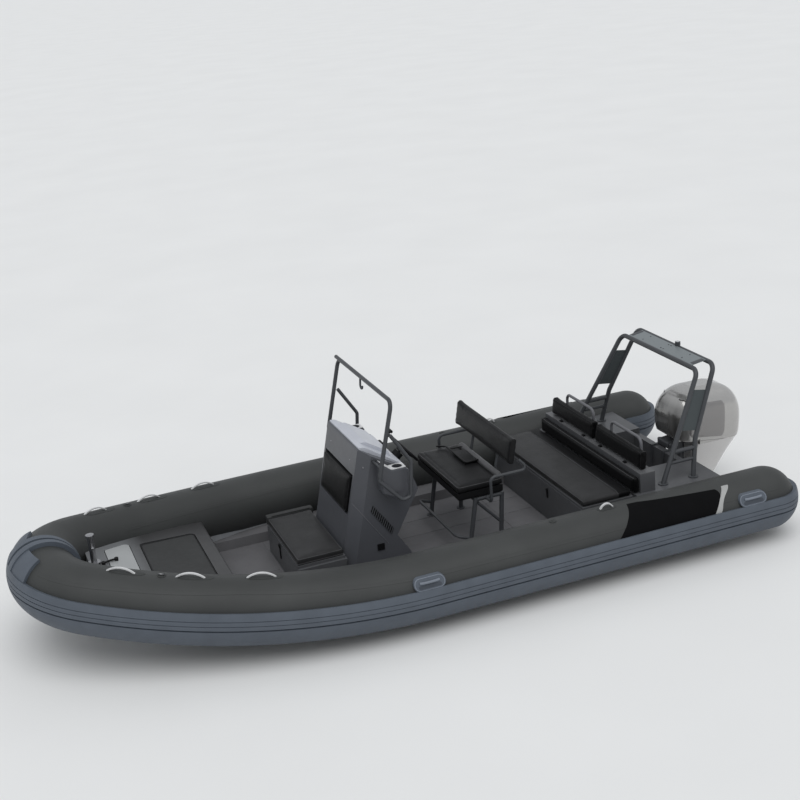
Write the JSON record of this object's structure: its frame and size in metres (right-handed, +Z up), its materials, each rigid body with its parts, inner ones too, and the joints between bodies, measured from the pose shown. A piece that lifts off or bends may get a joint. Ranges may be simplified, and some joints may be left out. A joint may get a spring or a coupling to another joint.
{
  "type": "rigid inflatable boat",
  "caption": "Rigid inflatable boat afloat, with a centre console, leaning seat, stern bench, roll arch and one outboard engine.",
  "frame": {"origin": "on the waterline, on the centreline, amidships", "axes": "+X towards the bow, +Y to port, +Z up"},
  "size_m": [6.4758, 2.808, 2.329],
  "materials": {
    "tube": "matte coated fabric",
    "strake": "matte moulded rubber",
    "hull": "gelcoat",
    "deck": "satin gelcoat",
    "pale_deck": "satin gelcoat",
    "dark_lid": "matte",
    "cushion": "soft vinyl",
    "dark_frame": "satin powder coat",
    "steel": "brushed",
    "black_plastic": "satin",
    "white_plastic": "satin",
    "engine_leg": "satin paint",
    "cowl": "metallic gloss paint"
  },
  "bodies": {
    "boat": {"tube_port": "tube", "tube_starboard": "tube", "strake_port": "strake", "strake_starboard": "strake", "bow_guard": "strake", "hull": "hull", "cockpit_deck": "deck", "stern_deck": "deck", "bow_locker": "deck", "mooring_post": "steel", "tow_eyes": "steel", "front_seat_box": "deck", "console": "deck", "console_backrest": "cushion", "cup_pods": "deck", "dash": "pale_deck", "screen_hoop": "dark_frame", "helm_boss": "black_plastic", "throttle": "black_plastic", "console_vents": "black_plastic", "helm_pan": "black_plastic", "helm_cushion": "cushion", "helm_backrest": "cushion", "helm_frame": "dark_frame", "bench_locker": "deck", "bench_back": "pale_deck", "bench_roll": "cushion", "bench_upper_cushions": "cushion", "bench_hoops": "dark_frame", "bench_clips": "steel", "roll_arch": "dark_frame", "arch_plates": "dark_frame", "nav_light": "black_plastic", "engine_clamps": "dark_frame", "grab_handles": "white_plastic", "carry_handles": "strake", "valves": "black_plastic", "side_panels": "deck"},
    "bow_locker_lid": {"bow_locker_lid": "dark_lid"},
    "anchor_lid": {"anchor_lid": "pale_deck"},
    "front_seat_lid": {"front_seat_lid": "deck", "front_seat_cushion": "cushion"},
    "bench_lid": {"bench_lid": "deck", "bench_cushion": "cushion"},
    "steering_wheel": {"steering_wheel": "black_plastic"},
    "engine_swivel": {"engine_swivel": "dark_frame"},
    "engine_head": {"engine_midsection": "engine_leg", "engine_gearcase": "engine_leg", "engine_cowl": "cowl", "engine_block": "black_plastic"},
    "propeller": {"propeller": "steel"},
    "tilt_barrel": {"tilt_barrel": "dark_frame"},
    "tilt_rod": {"tilt_rod": "steel"}
  },
  "joints": [
    {"name": "bow_locker_lid_hinge", "type": "hinge", "parent": "boat", "child": "bow_locker_lid", "pos_m": [2.118, 0, 0.54834], "axis": [0, 1, 0], "range_deg": [0, 85]},
    {"name": "anchor_lid_hinge", "type": "hinge", "parent": "boat", "child": "anchor_lid", "pos_m": [2.206, 0, 0.56891], "axis": [0, -1, 0], "range_deg": [0, 85]},
    {"name": "front_seat_hinge", "type": "hinge", "parent": "boat", "child": "front_seat_lid", "pos_m": [0.62, 0, 0.452], "axis": [0, -1, 0], "range_deg": [0, 75]},
    {"name": "bench_hinge", "type": "hinge", "parent": "boat", "child": "bench_lid", "pos_m": [-1.78, 0, 0.548], "axis": [0, -1, 0], "range_deg": [0, 75]},
    {"name": "engine_tilt", "type": "hinge", "parent": "boat", "child": "engine_swivel", "pos_m": [-2.622, 0, 0.486], "axis": [0, 1, 0], "range_deg": [0, 60]},
    {"name": "engine_steer", "type": "hinge", "parent": "engine_swivel", "child": "engine_head", "pos_m": [-2.76, 0, 0.3], "axis": [0, 0, 1], "range_deg": [-30, 30]},
    {"name": "propeller_spin", "type": "hinge", "parent": "engine_head", "child": "propeller", "pos_m": [-3.096, 0, -0.425], "axis": [1, 0, 0], "continuous": true},
    {"name": "wheel_turn", "type": "hinge", "parent": "boat", "child": "steering_wheel", "pos_m": [-0.105, 0, 1.012], "axis": [-0.766, 0, 0.6428], "range_deg": [-720, 720]},
    {"name": "ram_pivot", "type": "hinge", "parent": "boat", "child": "tilt_barrel", "pos_m": [-2.64, 0, 0.175], "axis": [0, -1, 0], "range_deg": [-10, 10]},
    {"name": "ram_slide", "type": "slide", "parent": "tilt_barrel", "child": "tilt_rod", "axis": [-0.1054, 0, 0.9944], "range_m": [0, 0.09]}
  ],
  "couplings": [
    {"joint": "wheel_turn", "follows": "engine_steer", "ratio": -24},
    {"joint": "ram_pivot", "follows": "engine_tilt", "ratio": -0.005},
    {"joint": "ram_slide", "follows": "engine_tilt", "m_per_rad": 0.054}
  ]
}
